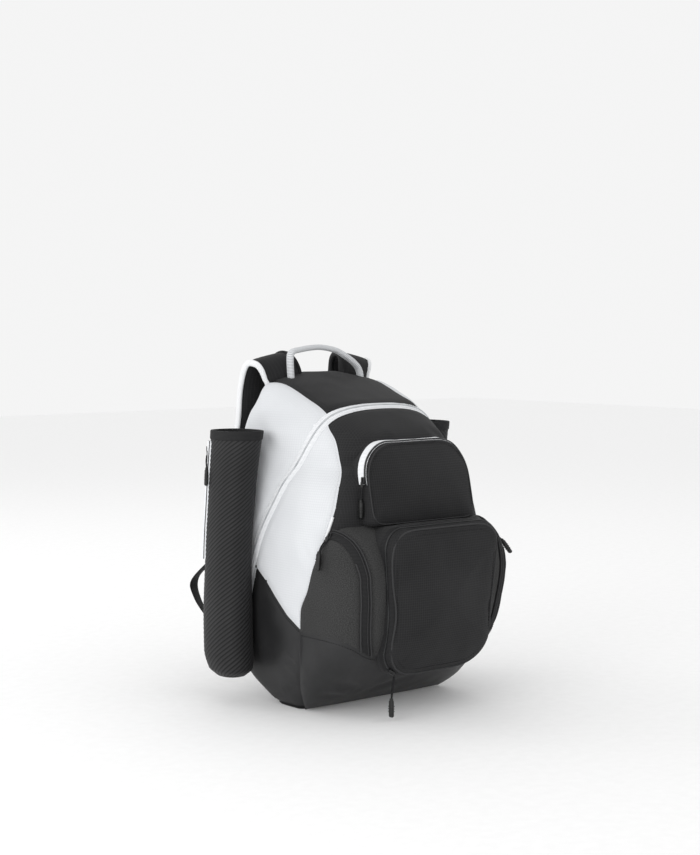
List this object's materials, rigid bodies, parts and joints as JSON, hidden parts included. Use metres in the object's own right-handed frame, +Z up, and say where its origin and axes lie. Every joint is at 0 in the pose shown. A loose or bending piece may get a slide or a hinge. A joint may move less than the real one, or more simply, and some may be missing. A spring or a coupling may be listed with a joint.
{
  "type": "baseball backpack",
  "caption": "Upright sewn backpack with domed top, front pockets, an open-topped side sleeve on each side, padded straps and a grab handle.",
  "frame": {"origin": "middle of the flat base, on the floor the bag stands on", "axes": "+Z up, -Y out of the pocketed front, +Y out of the back panel, X across the bag"},
  "size_m": [0.4376, 0.4575, 0.525],
  "materials": {
    "black_cloth": "fine ripstop weave, matt",
    "white_cloth": "fine ripstop weave, matt",
    "grey_cloth": "heathered weave, matt",
    "coated_cloth": "smooth coating, soft sheen",
    "ribbed_cloth": "embossed slanting ribs, matt",
    "white_tape": "woven tape, matt",
    "black_tape": "woven tape, matt",
    "padding": "padded cloth and mesh, matt",
    "plastic": "moulded, satin"
  },
  "bodies": {
    "root": {"base_panel": "coated_cloth", "base_front": "coated_cloth", "base_side_left": "coated_cloth", "base_side_right": "coated_cloth", "side_panel_left": "white_cloth", "side_panel_right": "white_cloth", "top_panel": "black_cloth", "front_panel": "black_cloth", "back_panel": "padding", "main_zip": "white_tape", "pocket_surround": "grey_cloth", "side_pocket_left": "grey_cloth", "side_pocket_right": "grey_cloth", "side_pocket_zip_left": "black_tape", "side_pocket_zip_right": "black_tape", "big_pocket": "black_cloth", "big_pocket_zip": "black_tape", "top_pocket": "black_cloth", "top_pocket_zip": "white_tape", "sleeve_left": "ribbed_cloth", "sleeve_right": "ribbed_cloth", "sleeve_zip_left": "white_tape", "sleeve_zip_right": "white_tape", "grab_handle": "white_tape", "shoulder_strap_left": "padding", "shoulder_strap_right": "padding", "strap_binding_left": "white_tape", "strap_binding_right": "white_tape", "ladder_lock_left": "plastic", "ladder_lock_right": "plastic", "webbing_left": "black_tape", "webbing_right": "black_tape", "pull_side_left": "plastic", "pull_side_right": "plastic", "pull_top_pocket": "plastic", "pull_big_pocket": "plastic", "pull_sleeve_left": "plastic", "pull_sleeve_right": "plastic"}
  },
  "joints": []
}
